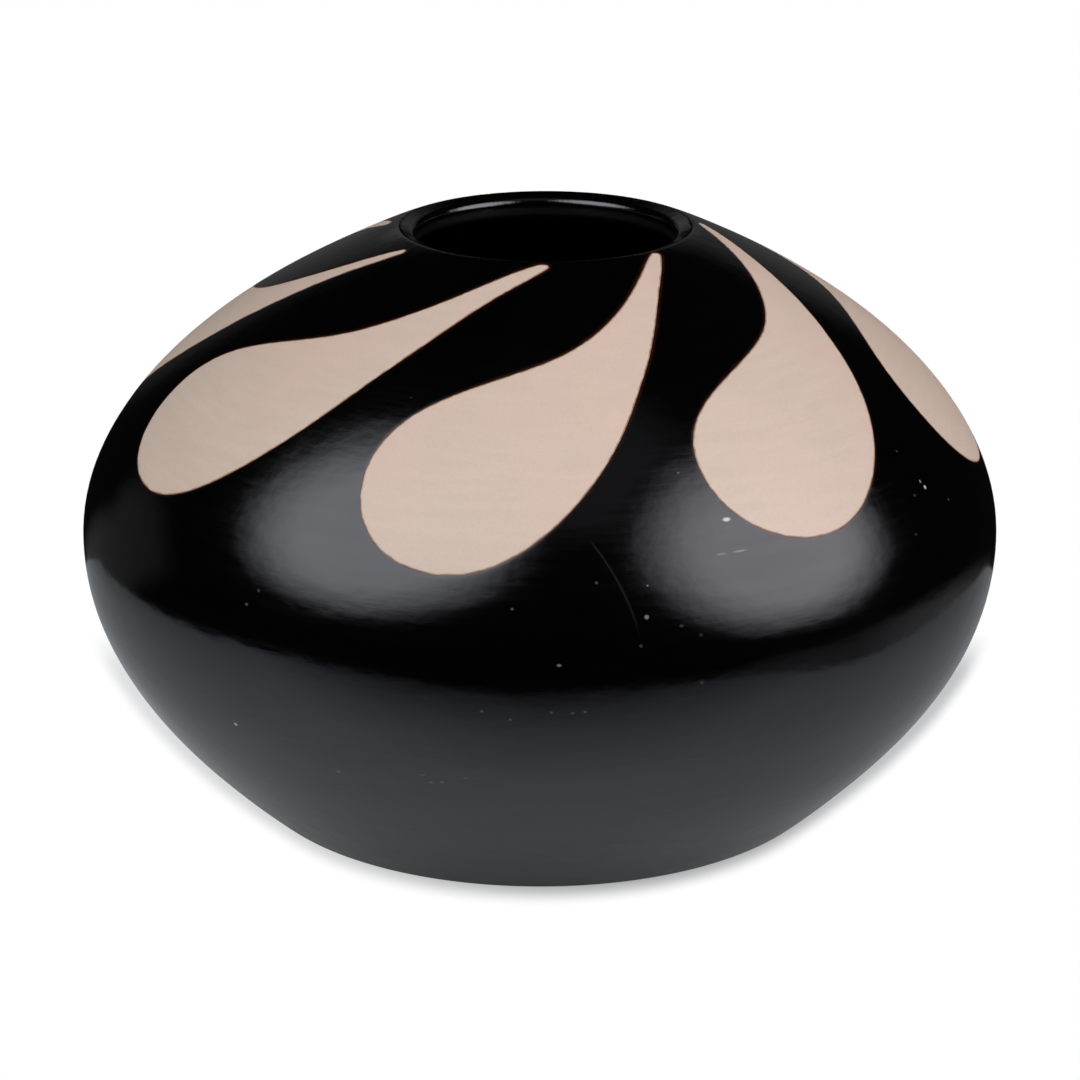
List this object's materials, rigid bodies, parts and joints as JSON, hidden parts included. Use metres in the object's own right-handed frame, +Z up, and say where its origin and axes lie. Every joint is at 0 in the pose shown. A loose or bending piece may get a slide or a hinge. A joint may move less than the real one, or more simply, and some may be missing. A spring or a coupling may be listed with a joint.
{
  "type": "vase",
  "caption": "Low round pottery vase with a small mouth and a ring of leaning pale teardrops on its shoulder, in burnished black clay.",
  "frame": {"origin": "on the table, under the middle of the foot", "axes": "+Z up out of the mouth, -Y to the front that the picture shows, +X to the right"},
  "size_m": [0.21, 0.21, 0.132],
  "materials": {
    "burnished_clay": "burnished to a soft gloss",
    "pale_slip": "polished satin slip"
  },
  "bodies": {
    "root": {"vase_body": "burnished_clay", "slip_drop_1": "pale_slip", "slip_drop_2": "pale_slip", "slip_drop_3": "pale_slip", "slip_drop_4": "pale_slip", "slip_drop_5": "pale_slip", "slip_drop_6": "pale_slip", "slip_drop_7": "pale_slip"}
  },
  "joints": []
}
